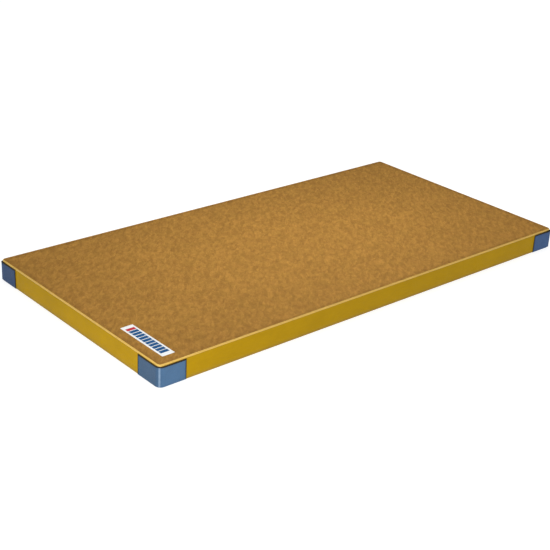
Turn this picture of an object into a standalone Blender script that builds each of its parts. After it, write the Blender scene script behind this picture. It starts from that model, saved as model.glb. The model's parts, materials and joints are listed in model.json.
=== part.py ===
"""Gymnastics mat: a laminated foam core in a sewn cover, with guarded corners and a zip in the rear side.

Metres, +Z up. The origin is the centre of the underside. +X runs along the length, and +Y points to the
rear side, which holds the zip. Cross-sections are lists of (out, up): out is the distance outward from the
plane of the mat's side, so it is negative inside the mat, and up is the height above the floor.
"""

import math

import bmesh
import bpy

# The whole mat
LENGTH = 2.0
WIDTH = 1.0
CORNER_RADIUS = 0.020  # of the sides, seen from above
TIGHT_RADIUS = 0.012  # of the piping, which is sewn tighter round the corners
ARC_STEPS = 10  # for a quarter turn of a corner
GAP = 0.0003  # left between pieces that touch
COLLECTION = "gymnastics_mat"

# Piping round the top edge
PIPING_RADIUS = 0.0035
PIPING_INSET = 0.0025
PIPING_HEIGHT = 0.0805
PIPING_SIDES = 12

# Landing surface and underside
SHEET_TOP = 0.083
SHEET_THICKNESS = 0.0016
SHEET_INSET = PIPING_INSET + PIPING_RADIUS + GAP

# Side bands, which turn under the mat as a hem
BAND_THICKNESS = 0.0012
BAND_TOP = PIPING_HEIGHT - PIPING_RADIUS - 0.0004
FOLD_RADIUS = 0.004
FOLD_STEPS = 6
HEM_WIDTH = 0.016
SEAM_FROM_CORNER = 0.045  # the seam between bands lies under the corner guard

# Foam core: a soft middle between two firm layers
CORE_INSET = BAND_THICKNESS + GAP
CORE_BOTTOM = SHEET_THICKNESS + GAP
CORE_TOP = SHEET_TOP - SHEET_THICKNESS - GAP
FIRM_LAYER = 0.015
TOP_CHAMFER = 0.0075  # makes room for the piping
BOTTOM_CHAMFER = 0.004  # makes room for the turned band

# Corner guards and the dark tape along their top edge
GUARD_LEGS = {  # along the short side and the long side, counterclockwise from the rear right corner
    "rear_right": (0.106, 0.104),
    "rear_left": (0.100, 0.104),
    "front_left": (0.115, 0.106),
    "front_right": (0.106, 0.103),
}
GUARD_TOP = 0.0712
GUARD_THICKNESS = 0.002
BINDING_TOP = 0.0764
BINDING_THICKNESS = 0.0023
GUARD_TUCK = math.radians(40)  # how far the guard follows the fold under the mat

# Label, pressed flush into the landing surface near the front left corner
LABEL_LENGTH = 0.240
LABEL_WIDTH = 0.050
LABEL_THICKNESS = 0.0005
LABEL_FROM_EDGES = 0.044
LABEL_RADIUS = 0.002
LABEL_DROP = 0.00005  # below the landing surface

# Zip in the rear band. Depth is measured inward from the plane of the side.
ZIP_HEIGHT = 0.040
SLOT_LENGTH = 1.744
SLOT_WIDTH = 0.020
TAPE_LENGTH = 1.768
TAPE_THICKNESS = 0.0008
TAPE_EDGE = 0.020  # from the zip's centre line
TAPE_DEPTH = 0.0045
TAPE_BEND = (0.012, 0.008)  # where the tape leaves the band, and where it reaches the teeth's depth
TEETH_LENGTH = 1.704
TEETH_DEPTH = (0.0035, 0.0063)
TEETH_SPAN = (0.0008, 0.0035)  # from the zip's centre line
STOP_LENGTH = 0.005
GROOVE_DEPTH = 0.0095  # in the foam behind the zip
GROOVE_WIDTH = 0.042
GROOVE_LENGTH = 1.780

# Slider: two flanged plates joined by a web that runs between the rows of teeth
SLIDER_REST_X = 0.838
SLIDER_LENGTH = 0.024
SLIDER_HALF_WIDTH = 0.0051
SLIDER_RADIUS = 0.003
PLATE_OUTSIDE = (0.0016, 0.0030)
PLATE_INSIDE = (0.0068, 0.0082)
FLANGE_WIDTH = 0.0012
FLANGE_REACH = 0.0011
WEB_HALF_WIDTH = 0.00045
CROWN_TOP = 0.0026  # stands this far out of the side, no further than the bindings
CROWN_THICKNESS = 0.0010
CROWN_RADIUS = 0.0014
CROWN_HALF_OPENING = 0.0042
CROWN_FOOT = 0.0012
CROWN_HALF_WIDTH = 0.0016

# Pull tab, which turns on a bar under the slider's crown
PIVOT_DEPTH = 0.0003
PULL_THICKNESS = 0.0014
PULL_LENGTH = 0.030
PULL_HALF_WIDTH = 0.0042
PULL_TIP_RADIUS = 0.003
EYE_END = 0.007
EYE_HALF_WIDTH = 0.0022
GRIP_HOLE_RADIUS = 0.0018
GRIP_HOLE_FROM_TIP = 0.0048


def clear_scene():
    for obj in list(bpy.data.objects):
        bpy.data.objects.remove(obj)


def collection(name):
    made = bpy.data.collections.new(name)
    bpy.context.scene.collection.children.link(made)
    return made


def finish(name, colour, roughness, metallic=0.0):
    made = bpy.data.materials.new(name)
    made.use_nodes = True
    shader = made.node_tree.nodes["Principled BSDF"]
    shader.inputs["Base Color"].default_value = (*colour, 1.0)
    shader.inputs["Roughness"].default_value = roughness
    shader.inputs["Metallic"].default_value = metallic
    return made


def arc(centre_x, centre_y, radius, start, end, steps):
    """Points along a circular arc, both ends included."""
    angles = [start + (end - start) * i / steps for i in range(steps + 1)]
    return [(centre_x + radius * math.cos(a), centre_y + radius * math.sin(a)) for a in angles]


def rounded_rectangle(half_x, half_y, radius, steps=ARC_STEPS):
    """The outline, counterclockwise."""
    points = []
    for quarter in range(4):
        start = quarter * math.pi / 2
        side_x = 1 if quarter in (0, 3) else -1
        side_y = 1 if quarter in (0, 1) else -1
        centre_x = side_x * (half_x - radius)
        centre_y = side_y * (half_y - radius)
        points += arc(centre_x, centre_y, radius, start, start + math.pi / 2, steps)
    return points


def mat_outline(inset, radius=CORNER_RADIUS):
    """The mat seen from above, moved inward by inset. The radius is the one before it moves."""
    return rounded_rectangle(LENGTH / 2 - inset, WIDTH / 2 - inset, radius - inset)


def flat_curve(name, loops):
    """A 2D curve object with one closed straight-sided spline for each loop of (x, y) points."""
    curve = bpy.data.curves.new(name, "CURVE")
    curve.dimensions = "2D"
    for points in loops:
        add_spline(curve, points, closed=True)
    return bpy.data.objects.new(name, curve)


def add_spline(curve, points, closed):
    spline = curve.splines.new("POLY")
    spline.points.add(len(points) - 1)
    for point, (x, y) in zip(spline.points, points):
        point.co = (x, y, 0.0, 1.0)
    spline.use_cyclic_u = closed


def as_mesh(curve_object, target):
    """Replaces a curve object by the closed mesh that it makes."""
    bpy.context.scene.collection.objects.link(curve_object)
    bpy.context.view_layer.update()
    graph = bpy.context.evaluated_depsgraph_get()
    mesh = bpy.data.meshes.new_from_object(curve_object.evaluated_get(graph))
    name = curve_object.name
    matrix = curve_object.matrix_world.copy()
    bpy.data.objects.remove(curve_object)
    weld(mesh)
    mesh.name = name
    made = bpy.data.objects.new(name, mesh)
    made.matrix_world = matrix
    target.objects.link(made)
    return made


def weld(mesh):
    work = bmesh.new()
    work.from_mesh(mesh)
    bmesh.ops.remove_doubles(work, verts=work.verts, dist=1e-6)
    bmesh.ops.recalc_face_normals(work, faces=work.faces)
    work.to_mesh(mesh)
    work.free()
    mesh.shade_smooth()
    mesh.set_sharp_from_angle(angle=math.radians(30))


def slab(name, loops, thickness, target, look):
    """A flat plate with its underside at z = 0. Loops inside the first one are holes."""
    plate = flat_curve(name, loops)
    plate.data.fill_mode = "BOTH"
    plate.data.extrude = thickness / 2
    made = as_mesh(plate, target)
    for vertex in made.data.vertices:
        vertex.co.z += thickness / 2
    made.data.materials.append(look)
    return made


def sweep(name, path, section, target, look, closed=False):
    """A cross-section of (out, up) points carried along a level path that has the mat on its left."""
    side = -1 if closed else 1  # a closed path carries the section the other way round
    outline = flat_curve(name + "_section", [[(side * out, up) for out, up in section]])
    guides.objects.link(outline)
    outline.hide_render = True
    outline.display_type = "WIRE"
    rail = bpy.data.curves.new(name, "CURVE")
    rail.dimensions = "2D"
    rail.fill_mode = "NONE"
    add_spline(rail, path, closed)
    rail.bevel_mode = "OBJECT"
    rail.bevel_object = outline
    rail.use_fill_caps = not closed
    made = as_mesh(bpy.data.objects.new(name, rail), target)
    made.data.materials.append(look)
    return made


def box(name, low, high, target, look=None):
    """A block between two corners, with its origin at its centre."""
    bpy.ops.mesh.primitive_cube_add(size=1.0)
    made = bpy.context.active_object
    made.name = made.data.name = name
    for vertex in made.data.vertices:
        for axis in range(3):
            vertex.co[axis] *= high[axis] - low[axis]
    made.location = [(low[axis] + high[axis]) / 2 for axis in range(3)]
    for user in list(made.users_collection):
        user.objects.unlink(made)
    target.objects.link(made)
    if look:
        made.data.materials.append(look)
    return made


def combine(obj, other, operation):
    """Cuts or joins other into obj, and keeps other as a hidden helper."""
    other.hide_render = True
    other.display_type = "WIRE"
    modifier = obj.modifiers.new(operation.title() + "_" + other.name, "BOOLEAN")
    modifier.operation = operation
    modifier.object = other
    modifier.solver = "EXACT"


def settle(obj):
    """Applies the object's modifiers, and marks the sharp edges that they made."""
    bpy.context.view_layer.update()
    graph = bpy.context.evaluated_depsgraph_get()
    obj.data = bpy.data.meshes.new_from_object(obj.evaluated_get(graph))
    obj.data.name = obj.name
    obj.modifiers.clear()
    weld(obj.data)


def place(obj, x=0.0, y=0.0, z=0.0, turn=0.0):
    obj.location = (x, y, z)
    obj.rotation_euler = (0.0, 0.0, turn)
    return obj


def copy_of(obj, name, target):
    """Another object with the same mesh."""
    made = bpy.data.objects.new(name, obj.data)
    target.objects.link(made)
    return made


def chamfer_rim(obj, height, size):
    """Cuts the corner off the edges that lie at this height in the object's own mesh."""
    work = bmesh.new()
    work.from_mesh(obj.data)
    near = 1e-6
    level = [e for e in work.edges if all(abs(v.co.z - height) < near for v in e.verts)]
    rim = [e for e in level if e.calc_face_angle(0) > 0.5]
    bmesh.ops.bevel(work, geom=rim, offset=size, segments=1, affect="EDGES")
    work.to_mesh(obj.data)
    work.free()


def build_core(foam_firm, foam_soft):
    """Three foam layers. The middle one has a groove behind the zip."""
    outline = mat_outline(CORE_INSET)
    lower_top = CORE_BOTTOM + FIRM_LAYER
    upper_bottom = CORE_TOP - FIRM_LAYER
    lower = slab("core_base_layer", [outline], FIRM_LAYER, parts, foam_firm)
    chamfer_rim(lower, 0.0, BOTTOM_CHAMFER)
    place(lower, z=CORE_BOTTOM)
    middle_height = upper_bottom - lower_top - 2 * GAP
    middle = slab("core_middle_layer", [outline], middle_height, parts, foam_soft)
    place(middle, z=lower_top + GAP)
    upper = slab("core_top_layer", [outline], FIRM_LAYER, parts, foam_firm)
    chamfer_rim(upper, FIRM_LAYER, TOP_CHAMFER)
    place(upper, z=upper_bottom)
    groove = box(
        "groove_cutter",
        (-GROOVE_LENGTH / 2, WIDTH / 2 - GROOVE_DEPTH, ZIP_HEIGHT - GROOVE_WIDTH / 2),
        (GROOVE_LENGTH / 2, WIDTH / 2 + GROOVE_DEPTH, ZIP_HEIGHT + GROOVE_WIDTH / 2),
        cutters,
    )
    combine(middle, groove, "DIFFERENCE")
    settle(middle)


def build_sheets(mat_cloth, grip_cloth):
    """The landing surface, with a shallow pocket for the label, and the underside."""
    top = slab("top_sheet", [mat_outline(SHEET_INSET, TIGHT_RADIUS)], SHEET_THICKNESS, parts, mat_cloth)
    place(top, z=SHEET_TOP - SHEET_THICKNESS)
    room = 2 * LABEL_THICKNESS
    pocket = slab("label_pocket_cutter", [label_outline(GAP)], room, cutters, mat_cloth)
    place(pocket, *label_place(), SHEET_TOP - LABEL_DROP - LABEL_THICKNESS - GAP)
    combine(top, pocket, "DIFFERENCE")
    settle(top)
    slab("base_sheet", [mat_outline(HEM_WIDTH + GAP)], SHEET_THICKNESS, parts, grip_cloth)


def build_piping(vinyl):
    turn = 2 * math.pi
    section = arc(-PIPING_INSET, PIPING_HEIGHT, PIPING_RADIUS, 0.0, turn, PIPING_SIDES)[:-1]
    sweep("top_piping", mat_outline(0.0, TIGHT_RADIUS), section, parts, vinyl, closed=True)


def folded_section(outer, inner, top, end_angle):
    """A sheet that hangs down a side and turns under the mat.

    Outer and inner are its faces' distances out.
    """
    centre = -FOLD_RADIUS
    start = 0.0
    outside = arc(centre, FOLD_RADIUS, FOLD_RADIUS + outer, start, -end_angle, FOLD_STEPS)
    inside = arc(centre, FOLD_RADIUS, FOLD_RADIUS + inner, -end_angle, start, FOLD_STEPS)
    return [(outer, top)] + outside, inside + [(inner, top)]


def band_section():
    """The upright face of a side band with its hem."""
    outside, inside = folded_section(0.0, -BAND_THICKNESS, BAND_TOP, math.pi / 2)
    hem = [(-HEM_WIDTH, 0.0), (-HEM_WIDTH, BAND_THICKNESS)]
    return outside + hem + inside


def wrapping_path():
    """Along the rear and round both of its corners, as far as the seams on the short sides."""
    corner_x = LENGTH / 2 - CORNER_RADIUS
    corner_y = WIDTH / 2 - CORNER_RADIUS
    seam_y = WIDTH / 2 - SEAM_FROM_CORNER
    right = arc(corner_x, corner_y, CORNER_RADIUS, 0.0, math.pi / 2, ARC_STEPS)
    left = arc(-corner_x, corner_y, CORNER_RADIUS, math.pi / 2, math.pi, ARC_STEPS)
    return [(LENGTH / 2, seam_y)] + right + left + [(-LENGTH / 2, seam_y)]


def build_bands(vinyl):
    """The rear and front bands wrap round the corners, and the short ones fit between them."""
    section = band_section()
    rear = sweep("rear_side_band", wrapping_path(), section, parts, vinyl)
    front = sweep("front_side_band", wrapping_path(), section, parts, vinyl)
    place(front, turn=math.pi)
    reach = WIDTH / 2 - SEAM_FROM_CORNER - GAP
    right = sweep("right_side_band", [(LENGTH / 2, -reach), (LENGTH / 2, reach)], section, parts, vinyl)
    place(copy_of(right, "left_side_band", parts), turn=math.pi)
    slot = slab(
        "zip_slot_cutter",
        [rounded_rectangle(SLOT_LENGTH / 2, SLOT_WIDTH / 2, SLOT_WIDTH / 2 - GAP)],
        4 * BAND_THICKNESS,
        cutters,
        vinyl,
    )
    slot.rotation_euler = (math.pi / 2, 0.0, 0.0)
    slot.location = (0.0, WIDTH / 2 + BAND_THICKNESS, ZIP_HEIGHT)
    combine(rear, slot, "DIFFERENCE")
    settle(rear)


def corner_path(first_leg, second_leg):
    """Round a corner that lies at the origin, with the mat on its left."""
    turn = arc(-CORNER_RADIUS, -CORNER_RADIUS, CORNER_RADIUS, 0.0, math.pi / 2, ARC_STEPS)
    return [(0.0, -first_leg)] + turn + [(-second_leg, 0.0)]


def build_guards(leather, tape):
    """Each guard wraps a corner from the underside up, and a tape runs along its top edge."""
    outside, inside = folded_section(GAP + GUARD_THICKNESS, GAP, GUARD_TOP, GUARD_TUCK)
    low = GUARD_TOP + GAP
    near = GAP
    far = GAP + BINDING_THICKNESS
    strip = [(far, BINDING_TOP), (far, low), (near, low), (near, BINDING_TOP)]
    for quarter, (corner, legs) in enumerate(GUARD_LEGS.items()):
        x = LENGTH / 2 if "right" in corner else -LENGTH / 2
        y = WIDTH / 2 if "rear" in corner else -WIDTH / 2
        short_first = quarter % 2 == 0
        path = corner_path(*legs) if short_first else corner_path(*reversed(legs))
        guard = sweep("guard_" + corner, path, outside + inside, parts, leather)
        binding = sweep("guard_binding_" + corner, path, strip, parts, tape)
        place(guard, x, y, turn=quarter * math.pi / 2)
        place(binding, x, y, turn=quarter * math.pi / 2)


def label_outline(margin=0.0):
    half_x = LABEL_WIDTH / 2 + margin
    half_y = LABEL_LENGTH / 2 + margin
    return rounded_rectangle(half_x, half_y, LABEL_RADIUS + margin, steps=4)


def label_place():
    """The label's centre, seen from above."""
    x = -LENGTH / 2 + LABEL_FROM_EDGES + LABEL_WIDTH / 2
    y = -WIDTH / 2 + LABEL_FROM_EDGES + LABEL_LENGTH / 2
    return x, y


def build_label(print_film):
    label = slab("label_patch", [label_outline()], LABEL_THICKNESS, parts, print_film)
    place(label, *label_place(), SHEET_TOP - LABEL_DROP - LABEL_THICKNESS)


def rear_path(half_length):
    """Straight along the rear, with the mat on its left."""
    return [(half_length, WIDTH / 2), (-half_length, WIDTH / 2)]


def tape_section(side):
    """A tape that lies behind the band and steps in to the teeth. Side is 1 above the zip and -1 below."""
    behind_band = -BAND_THICKNESS - GAP
    inner = TEETH_SPAN[1] + GAP
    bend_start, bend_end = TAPE_BEND
    outer_face = [
        (behind_band, TAPE_EDGE),
        (behind_band, bend_start),
        (-TAPE_DEPTH, bend_end),
        (-TAPE_DEPTH, inner),
    ]
    inner_face = [(out - TAPE_THICKNESS, up) for out, up in reversed(outer_face)]
    return [(out, ZIP_HEIGHT + side * up) for out, up in outer_face + inner_face]


def build_zip(tape_cloth, teeth_plastic, metal):
    for side, place_name in ((1, "upper"), (-1, "lower")):
        sweep("zip_tape_" + place_name, rear_path(TAPE_LENGTH / 2), tape_section(side), parts, tape_cloth)
        near, far = sorted(ZIP_HEIGHT + side * z for z in TEETH_SPAN)
        box(
            "zip_teeth_" + place_name,
            (-TEETH_LENGTH / 2, WIDTH / 2 - TEETH_DEPTH[1], near),
            (TEETH_LENGTH / 2, WIDTH / 2 - TEETH_DEPTH[0], far),
            parts,
            teeth_plastic,
        )
    for side, place_name in ((1, "closed"), (-1, "open")):
        ends = sorted(side * (TEETH_LENGTH / 2 + GAP + x) for x in (0.0, STOP_LENGTH))
        box(
            "zip_stop_" + place_name,
            (ends[0], WIDTH / 2 - TEETH_DEPTH[1], ZIP_HEIGHT - TEETH_SPAN[1]),
            (ends[1], WIDTH / 2 - TEETH_DEPTH[0], ZIP_HEIGHT + TEETH_SPAN[1]),
            parts,
            metal,
        )


def slider_section():
    """Outer plate, web and inner plate, as one outline."""
    flange_inner = SLIDER_HALF_WIDTH - FLANGE_WIDTH
    outside_near, outside_far = PLATE_OUTSIDE
    inside_near, inside_far = PLATE_INSIDE
    upper = [
        (outside_near, SLIDER_HALF_WIDTH),
        (outside_far + FLANGE_REACH, SLIDER_HALF_WIDTH),
        (outside_far + FLANGE_REACH, flange_inner),
        (outside_far, flange_inner),
        (outside_far, WEB_HALF_WIDTH),
        (inside_near, WEB_HALF_WIDTH),
        (inside_near, flange_inner),
        (inside_near - FLANGE_REACH, flange_inner),
        (inside_near - FLANGE_REACH, SLIDER_HALF_WIDTH),
        (inside_far, SLIDER_HALF_WIDTH),
    ]
    lower = [(depth, -up) for depth, up in reversed(upper)]
    return [(-depth, ZIP_HEIGHT + up) for depth, up in upper + lower]


def upright(obj, x, depth):
    """Stands a plate up in the plane of the rear side, with its underside at this depth."""
    obj.rotation_euler = (math.pi / 2, 0.0, 0.0)
    obj.location = (x, WIDTH / 2 - depth, ZIP_HEIGHT)
    return obj


def build_slider(metal):
    """The slider, with its origin at its middle on the plane of the side."""
    path = [(SLIDER_LENGTH / 2 + GAP, 0.0), (-SLIDER_LENGTH / 2 - GAP, 0.0)]
    slider = sweep("zip_slider", path, slider_section(), parts, metal)
    place(slider, SLIDER_REST_X, WIDTH / 2)
    outline = rounded_rectangle(SLIDER_LENGTH / 2, SLIDER_HALF_WIDTH + GAP, SLIDER_RADIUS, steps=5)
    trim = slab("slider_trim", [outline], PLATE_INSIDE[1] + 2 * GAP, cutters, metal)
    upright(trim, SLIDER_REST_X, -GAP)
    combine(slider, trim, "INTERSECT")
    foot = CROWN_HALF_OPENING + CROWN_FOOT
    root = -PLATE_OUTSIDE[0] - 2 * GAP
    under = CROWN_TOP - CROWN_THICKNESS
    crown_outline = (
        [(-foot, root), (-CROWN_HALF_OPENING, root), (-CROWN_HALF_OPENING, under)]
        + [(CROWN_HALF_OPENING, under), (CROWN_HALF_OPENING, root), (foot, root)]
        + arc(foot - CROWN_RADIUS, CROWN_TOP - CROWN_RADIUS, CROWN_RADIUS, 0.0, math.pi / 2, 4)
        + arc(CROWN_RADIUS - foot, CROWN_TOP - CROWN_RADIUS, CROWN_RADIUS, math.pi / 2, math.pi, 4)
    )
    crown = slab("slider_crown", [crown_outline], 2 * CROWN_HALF_WIDTH, cutters, metal)
    crown.location = (SLIDER_REST_X, WIDTH / 2, ZIP_HEIGHT - CROWN_HALF_WIDTH)
    combine(slider, crown, "UNION")
    settle(slider)
    return slider


def build_pull(metal, slider):
    """A tab that points along the zip, with its origin on the bar that it turns on."""
    bar = PULL_THICKNESS / 2
    tip = PULL_LENGTH - PULL_TIP_RADIUS
    high = PULL_HALF_WIDTH - PULL_TIP_RADIUS
    outline = (
        [(bar, PULL_HALF_WIDTH)]
        + arc(-tip, high, PULL_TIP_RADIUS, math.pi / 2, math.pi, 5)
        + arc(-tip, -high, PULL_TIP_RADIUS, math.pi, 1.5 * math.pi, 5)
        + [(bar, -PULL_HALF_WIDTH)]
    )
    eye = [
        (-bar, EYE_HALF_WIDTH),
        (-EYE_END, EYE_HALF_WIDTH),
        (-EYE_END, -EYE_HALF_WIDTH),
        (-bar, -EYE_HALF_WIDTH),
    ]
    hole_x = GRIP_HOLE_FROM_TIP - PULL_LENGTH
    grip_hole = arc(hole_x, 0.0, GRIP_HOLE_RADIUS, 0.0, 2 * math.pi, 16)[:-1]
    pull = slab("zip_pull_tab", [outline, eye, grip_hole], PULL_THICKNESS, parts, metal)
    for vertex in pull.data.vertices:
        vertex.co.z -= PULL_THICKNESS / 2
    upright(pull, SLIDER_REST_X, PIVOT_DEPTH)
    bpy.context.view_layer.update()
    pull.parent = slider
    pull.matrix_parent_inverse = slider.matrix_world.inverted()


clear_scene()
parts = collection(COLLECTION)
cutters = collection("cutters")
guides = collection("guides")

foam_firm = finish("firm_foam", (0.62, 0.60, 0.52), 0.95)
foam_soft = finish("soft_foam", (0.50, 0.42, 0.30), 0.95)
mat_cloth = finish("mat_cloth", (0.38, 0.20, 0.042), 0.85)
side_vinyl = finish("side_vinyl", (0.50, 0.29, 0.012), 0.45)
piping_vinyl = finish("piping_vinyl", (0.72, 0.46, 0.10), 0.4)
grip_cloth = finish("grip_cloth", (0.05, 0.05, 0.05), 0.9)
guard_leather = finish("guard_leather", (0.07, 0.15, 0.255), 0.4)
binding_tape = finish("binding_tape", (0.03, 0.028, 0.02), 0.7)
label_film = finish("label_film", (0.85, 0.86, 0.85), 0.4)
zip_cloth = finish("zip_cloth", (0.04, 0.04, 0.04), 0.9)
zip_plastic = finish("zip_plastic", (0.03, 0.03, 0.03), 0.4)
zip_metal = finish("zip_metal", (0.55, 0.54, 0.52), 0.3, metallic=1.0)

build_core(foam_firm, foam_soft)
build_sheets(mat_cloth, grip_cloth)
build_piping(piping_vinyl)
build_bands(side_vinyl)
build_guards(guard_leather, binding_tape)
build_label(label_film)
build_zip(zip_cloth, zip_plastic, zip_metal)
build_pull(zip_metal, build_slider(zip_metal))
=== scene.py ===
import json
import math

import bmesh
import bpy
from mathutils import Matrix, Vector, noise

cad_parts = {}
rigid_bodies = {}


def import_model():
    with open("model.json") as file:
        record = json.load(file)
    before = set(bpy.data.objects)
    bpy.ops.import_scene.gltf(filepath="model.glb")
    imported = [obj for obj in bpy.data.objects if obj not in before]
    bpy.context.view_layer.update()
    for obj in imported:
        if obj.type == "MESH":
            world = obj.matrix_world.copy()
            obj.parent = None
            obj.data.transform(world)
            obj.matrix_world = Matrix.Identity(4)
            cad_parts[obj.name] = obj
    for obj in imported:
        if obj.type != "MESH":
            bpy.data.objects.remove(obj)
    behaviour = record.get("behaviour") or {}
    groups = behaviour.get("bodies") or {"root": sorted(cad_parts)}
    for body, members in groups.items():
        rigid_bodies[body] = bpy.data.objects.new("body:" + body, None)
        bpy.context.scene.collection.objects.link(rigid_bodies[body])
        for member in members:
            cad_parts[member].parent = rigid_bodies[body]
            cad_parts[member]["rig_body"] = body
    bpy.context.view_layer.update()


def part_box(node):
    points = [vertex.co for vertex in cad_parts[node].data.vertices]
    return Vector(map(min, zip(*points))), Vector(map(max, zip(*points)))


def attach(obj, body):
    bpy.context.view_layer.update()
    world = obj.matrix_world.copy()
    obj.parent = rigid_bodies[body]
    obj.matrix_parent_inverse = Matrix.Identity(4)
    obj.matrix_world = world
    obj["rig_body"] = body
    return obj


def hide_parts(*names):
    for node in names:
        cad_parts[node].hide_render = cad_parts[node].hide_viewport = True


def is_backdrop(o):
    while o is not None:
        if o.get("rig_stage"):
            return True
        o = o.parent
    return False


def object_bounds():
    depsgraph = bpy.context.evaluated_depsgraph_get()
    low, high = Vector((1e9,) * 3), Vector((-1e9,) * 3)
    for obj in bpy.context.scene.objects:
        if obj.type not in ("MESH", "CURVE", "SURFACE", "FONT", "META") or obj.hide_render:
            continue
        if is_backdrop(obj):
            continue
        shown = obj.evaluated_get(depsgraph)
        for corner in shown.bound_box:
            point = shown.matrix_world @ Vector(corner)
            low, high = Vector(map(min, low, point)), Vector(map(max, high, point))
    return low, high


# Round corners in plan, of the sides and of the piping
SIDE_RADIUS = 0.020
PIPING_CORNER = 0.012

# Spacing of the cross-sections along a swept piece
STEP = 0.009
BEND_STEPS = 12

# Stitching
STITCH_PITCH = 0.0052
STITCH_LENGTH = 0.0036
THREAD_RADIUS = 0.00038
PROUD = 0.00012  # of the cloth, for stitches and painted edges

# Cover
BAND_WIDTH = 0.105
BAND_FOLD = 0.0015
BAND_CLOTH = 0.0011
SEAM_ALLOWANCE = 0.010
SEAM_RISE = 0.0009  # of the bands' top edge, under the piping
BEAD_SWELL = 0.0004
GUARD_REACH = 0.112  # from a corner to the free part of a side
SIMULATED_FRAMES = 20
PANEL_CAP = 0.0016
TOP_CAP = 0.0012

# Landing cloth where it climbs the piping's inner flank, in degrees round the bead
CLIMB_ANGLES = (150, 130, 110, 93, 84)

# Corner guards. Three were bent sharply and stand off the mat's round corner. The near one has worn round
GUARD_WIDTH = 0.084
GUARD_FOLD = 0.004
GUARD_LEATHER = 0.0019
GUARD_TUCK = math.radians(40)
CRISP_RADIUS = 0.004
CRISP_FLARE = 0.0015
TAPE_WIDTH = 0.011

# Label, with plain printed bars along it
BAR_COUNT = 11
BAR_HALF_WIDTH = 0.0175
BARS_LENGTH = 0.206

# Zip
SLOT_PAST_TEETH = 0.020
SLOT_HALF_WIDTH = 0.010
TOOTH_PITCH = 0.0032

# Landing cloth: the direction of its nap, and its colours
NAP_HEADING = math.radians(48)
CLOTH_DARK = (0.330, 0.159, 0.030)
CLOTH_LIGHT = (0.424, 0.211, 0.043)

# Counterclockwise from the rear right, with the sides of the mat that meet there
CORNERS = ("rear_right", "rear_left", "front_left", "front_right")
CORNER_SIDES = ((1, 1), (-1, 1), (-1, -1), (1, -1))
QUARTER_TURNS = ((1, 0), (0, 1), (-1, 0), (0, -1))  # (cosine, sine)

# Camera, measured from the front left corner of the mat at floor height
EYE = Vector((-1.916, -2.652, 1.915))
PITCH = math.radians(24.70)
HEADING = math.radians(48.03)
ROLL = math.radians(3.0)
LENS = 77.4


# -------- paths and sections


def run(start, end, step=STEP):
    """Stations (x, y, nx, ny) along a straight side, with the mat on the left."""
    dx, dy = end[0] - start[0], end[1] - start[1]
    length = math.hypot(dx, dy)
    count = max(1, round(length / step))
    nx, ny = dy / length, -dx / length
    return [(start[0] + dx * i / count, start[1] + dy * i / count, nx, ny) for i in range(count + 1)]


def bend(centre, radius, start, steps=BEND_STEPS):
    """Stations round a quarter turn, counterclockwise from the start angle."""
    stations = []
    for i in range(steps + 1):
        angle = start + math.pi / 2 * i / steps
        nx, ny = math.cos(angle), math.sin(angle)
        stations.append((centre[0] + radius * nx, centre[1] + radius * ny, nx, ny))
    return stations


def joined(*parts):
    """One path from several, without the doubled stations where they meet."""
    path = list(parts[0])
    for part in parts[1:]:
        path += part[1:]
    return path


def half_turned(path):
    """The same path on the opposite side of the mat."""
    return [(-x, -y, -nx, -ny) for x, y, nx, ny in path]


def ring_path(half_x, half_y, radius, step=STEP):
    """Right round a rounded rectangle. The last station is left out because the path closes."""
    cx, cy = half_x - radius, half_y - radius
    half = joined(
        run((half_x, -cy), (half_x, cy), step),
        bend((cx, cy), radius, 0.0),
        run((cx, half_y), (-cx, half_y), step),
        bend((-cx, cy), radius, math.pi / 2),
    )
    return joined(half, half_turned(half))[:-1]


def distances(path):
    """The distance along the path at each station."""
    total, found = 0.0, [0.0]
    for (x0, y0, _, _), (x1, y1, _, _) in zip(path, path[1:]):
        total += math.hypot(x1 - x0, y1 - y0)
        found.append(total)
    return found


def shell(profile, thickness):
    """A closed section from an open one, thickened to the left of its direction."""
    inner = []
    for i, (out, up) in enumerate(profile):
        before = profile[max(i - 1, 0)]
        after = profile[min(i + 1, len(profile) - 1)]
        dx, dy = after[0] - before[0], after[1] - before[1]
        size = math.hypot(dx, dy)
        inner.append((out - dy / size * thickness, up + dx / size * thickness))
    return list(profile) + inner[::-1]


def arc(centre, radius, start, end, steps):
    angles = [start + (end - start) * i / steps for i in range(steps + 1)]
    return [(centre[0] + radius * math.cos(a), centre[1] + radius * math.sin(a)) for a in angles]


def spread(start, end, count):
    """Evenly spaced numbers, both ends included."""
    return [start + (end - start) * i / count for i in range(count + 1)]


def ripple(x, y, size, seed=0.0):
    """Smooth noise from -1 to 1, with features of about this size in metres."""
    return noise.noise(Vector((x / size, y / size, seed)))


# -------- meshes


def finish_mesh(name, work, look, smooth=math.radians(35)):
    bmesh.ops.recalc_face_normals(work, faces=work.faces)
    mesh = bpy.data.meshes.new(name)
    work.to_mesh(mesh)
    work.free()
    mesh.shade_smooth()
    mesh.set_sharp_from_angle(angle=smooth)
    piece = bpy.data.objects.new(name, mesh)
    bpy.context.scene.collection.objects.link(piece)
    mesh.materials.append(look)
    return piece


def sweep(name, path, section, look, closed=False, warp=None):
    """Carries a closed section of (out, up) points along a path.

    warp takes the distance along the path, the place in plan and a section point. It returns the point moved.
    """
    work = bmesh.new()
    rings = []
    for (x, y, nx, ny), s in zip(path, distances(path)):
        points = [warp(s, x, y, out, up) for out, up in section] if warp else section
        rings.append([work.verts.new((x + nx * out, y + ny * out, up)) for out, up in points])
    pairs = list(zip(rings, rings[1:] + rings[:1])) if closed else list(zip(rings, rings[1:]))
    for first, second in pairs:
        bridge(work, first, second)
    if not closed:
        work.faces.new(rings[0])
        work.faces.new(rings[-1])
    return finish_mesh(name, work, look)


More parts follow.
